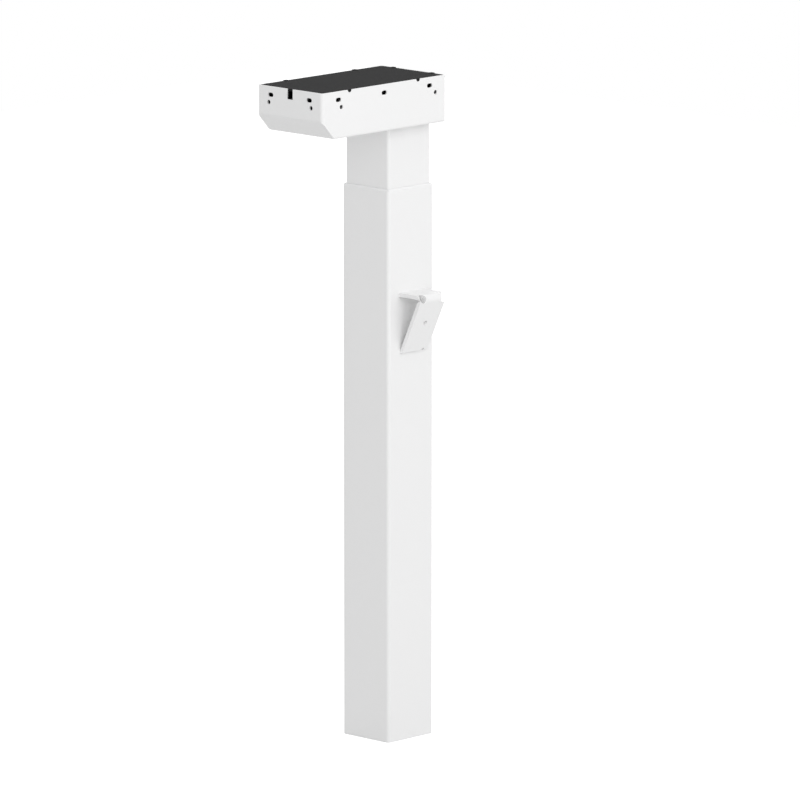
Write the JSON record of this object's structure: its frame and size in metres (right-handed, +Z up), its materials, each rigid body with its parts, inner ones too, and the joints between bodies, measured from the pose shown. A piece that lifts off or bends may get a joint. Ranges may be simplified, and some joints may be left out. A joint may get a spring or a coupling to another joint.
{
  "type": "electric lifting column",
  "caption": "Square telescopic lifting column with a box-shaped drive head on top, a wedge bracket on its side and a spindle drive inside.",
  "frame": {"origin": "centre of the column's foot, on the face it stands on", "axes": "+Z up along the column, -X towards the long end of the head, -Y towards the side with the bracket"},
  "size_m": [0.191, 0.1146, 0.7292],
  "materials": {
    "white_paint": "satin powder coat",
    "light_plastic": "fine texture",
    "natural_plastic": "machined acetal",
    "zinc_steel": "zinc plated",
    "bright_steel": "rolled and ground",
    "bearing_steel": "ground",
    "black_screws": "black oxide",
    "black_plastic": "fine texture",
    "cast_aluminium": "die cast",
    "magnet_ferrite": "sintered",
    "copper_winding": "enamelled copper wire",
    "green_board": "solder mask"
  },
  "bodies": {
    "column": {"outer_tube": "white_paint", "top_collar": "light_plastic", "upper_glides": "natural_plastic", "base_plate": "zinc_steel", "nut_tube": "bright_steel", "nut_tube_screws": "black_screws", "spindle_nut": "natural_plastic", "wedge_bracket": "white_paint"},
    "lift": {"inner_tube": "white_paint", "lower_glides": "natural_plastic", "top_flange": "zinc_steel", "head_shell": "white_paint", "inner_housing": "black_plastic", "head_lid": "black_plastic", "shell_screws": "black_screws", "gear_case": "cast_aluminium", "gear_cover": "cast_aluminium", "case_screws": "black_screws", "bearing_rings": "bearing_steel", "motor_can": "zinc_steel", "motor_magnets": "magnet_ferrite", "motor_end_cap": "black_plastic", "control_board": "green_board", "cable_socket": "black_plastic"},
    "spindle": {"spindle": "bright_steel", "worm_wheel": "natural_plastic", "spindle_races": "bearing_steel", "spindle_stop": "bright_steel", "stop_screw": "black_screws"},
    "motor": {"motor_shaft": "bright_steel", "armature": "copper_winding", "worm": "bright_steel", "worm_races": "bearing_steel"}
  },
  "joints": [
    {"name": "column_lift", "type": "slide", "parent": "column", "child": "lift", "axis": [0, 0, 1], "range_m": [0, 0.5]},
    {"name": "spindle_turn", "type": "hinge", "parent": "lift", "child": "spindle", "pos_m": [0, 0, 0], "axis": [0, 0, 1], "range_deg": [0, 15000]},
    {"name": "motor_turn", "type": "hinge", "parent": "lift", "child": "motor", "pos_m": [0, 0.02525, 0.7041], "axis": [1, 0, 0], "range_deg": [0, 225000]}
  ],
  "couplings": [
    {"joint": "spindle_turn", "follows": "column_lift", "rad_per_m": 523.6},
    {"joint": "motor_turn", "follows": "column_lift", "rad_per_m": 7854}
  ]
}
